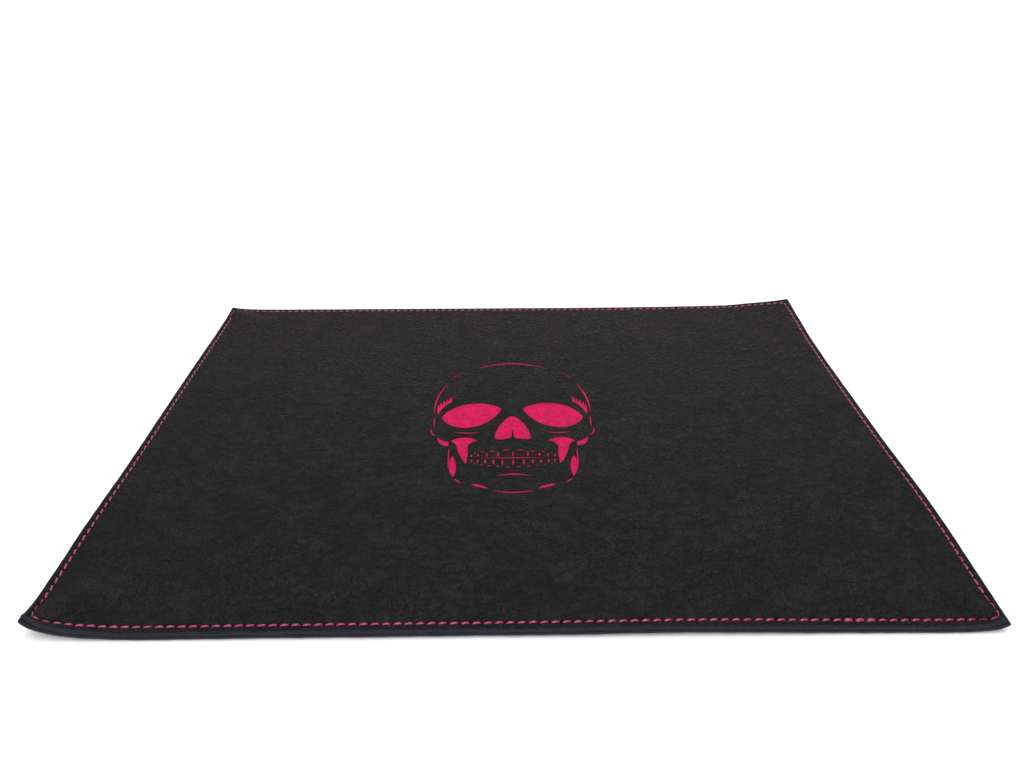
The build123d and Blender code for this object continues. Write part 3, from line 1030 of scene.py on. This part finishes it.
def magnet_disc(name, x, y, material):
    """Disc magnet with rounded rims, lying between the layers where the leather lies."""
    lower = [(0, 0), (MAGNET_R - 0.3, 0), (MAGNET_R - 0.07, 0.07), (MAGNET_R, 0.25)]
    profile = lower + [(radius, MAGNET_TALL - z) for radius, z in reversed(lower)]
    around = 48
    spots = [(x, y), (x + 1, y), (x, y + 1)]
    base, right, back = (Vector(set_on_surface([a], [b], [MAGNET_BASE], 0)[0]) / MM
                         for a, b in spots)
    normal = (right - base).cross(back - base).normalized()
    turn = normal.to_track_quat("Z", "Y").to_matrix()
    points, faces = [], []
    for radius, z in profile:
        for i in range(around if radius else 1):
            angle = 2 * math.pi * i / around
            points.append((radius * math.cos(angle), radius * math.sin(angle), z))
    rings = len(profile) - 2
    for k in range(rings - 1):
        for i in range(around):
            a, b = 1 + k * around + i, 1 + k * around + (i + 1) % around
            faces.append((a, b, b + around, a + around))
    top = len(points) - 1
    for i in range(around):
        a, b = i, (i + 1) % around
        faces.append((0, 1 + b, 1 + a))
        faces.append((top, 1 + (rings - 1) * around + a, 1 + (rings - 1) * around + b))
    flat = np.array(points)
    placed = np.array([(base + turn @ Vector(p)) * MM for p in points])
    return finish_mesh(name, placed, faces, flat, {}, material)


def dress_magnets():
    """The disc magnet in each corner half, where the CAD model has it."""
    nickel = magnet_material()
    inset = EAR * (2 - math.sqrt(2)) / 2
    for corner in CURL:
        sx, sy = corner_signs(corner)
        front_back, left_right = corner.split("_")
        along, across = EAR - inset, inset
        for side, u, v in ((front_back, along, across), (left_right, across, along)):
            body = f"{corner}_ear_{side}"
            piece = magnet_disc(f"{body}_disc", sx * (HALF_X - u), sy * (HALF_Y - v), nickel)
            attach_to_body(piece, body)
            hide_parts(f"{body}_magnet")


# ---------------------------------------------------------------- studio
# The camera's place, turn and lens follow the mat's outline in the photograph
EYE = Vector((-2.19, -249.15, 176.14)) * MM
YAW, PITCH, ROLL = math.radians(0.469), math.radians(31.897), math.radians(-0.144)
LENS = 27.24
FLOOR_HALF = 6.0          # half the studio floor's width, in metres
FLOOR_DROP = 0.0002       # how far it lies under the mat, in metres
WORLD_LIGHT = 0.38


def add_camera():
    """Camera in front of the mat, looking down on it."""
    data = bpy.data.cameras.new("camera")
    data.lens = LENS
    data.sensor_width = 36
    data.clip_start = 0.01
    camera = bpy.data.objects.new("camera", data)
    bpy.context.scene.collection.objects.link(camera)
    turn = (Matrix.Rotation(-YAW, 4, "Z") @ Matrix.Rotation(math.pi / 2 - PITCH, 4, "X")
            @ Matrix.Rotation(ROLL, 4, "Z"))
    camera.matrix_world = Matrix.Translation(EYE) @ turn
    bpy.context.scene.camera = camera


def add_light(name, place, aim, size, power):
    """Square area light aimed at a point."""
    data = bpy.data.lights.new(name, "AREA")
    data.shape = "SQUARE"
    data.size = size
    data.energy = power
    light = bpy.data.objects.new(name, data)
    bpy.context.scene.collection.objects.link(light)
    light.location = place
    light.rotation_euler = (Vector(aim) - Vector(place)).to_track_quat("-Z", "Y").to_euler()


def add_studio():
    """Plain pale floor under soft light from all round."""
    mesh = bpy.data.meshes.new("studio_floor")
    signs = [(-1, -1), (1, -1), (1, 1), (-1, 1)]
    corners = [(x * FLOOR_HALF, y * FLOOR_HALF, 0) for x, y in signs]
    mesh.from_pydata(corners, [], [(0, 1, 2, 3)])
    paper = Nodes("studio_paper")
    mesh.materials.append(paper.set(Base_Color=(0.92, 0.92, 0.92, 1), Roughness=0.9,
                                    Specular_IOR_Level=0.1))
    floor = bpy.data.objects.new("studio_floor", mesh)
    floor.location.z = -FLOOR_DROP
    bpy.context.scene.collection.objects.link(floor)
    world = bpy.data.worlds.new("studio")
    world.use_nodes = True
    world.node_tree.nodes["Background"].inputs["Color"].default_value = (1, 1, 1, 1)
    world.node_tree.nodes["Background"].inputs["Strength"].default_value = WORLD_LIGHT
    bpy.context.scene.world = world
    add_light("softbox", (-0.3, -1.1, 2.7), (0, 0, 0), 3.4, 112)
    add_light("back_light", (0.3, 2.6, 2.2), (0, 0.4, 0), 2.6, 48)
    bpy.context.scene.view_settings.view_transform = "Standard"


add_camera()
add_studio()
dress_panels()
dress_stitches()
dress_skull()
dress_magnets()
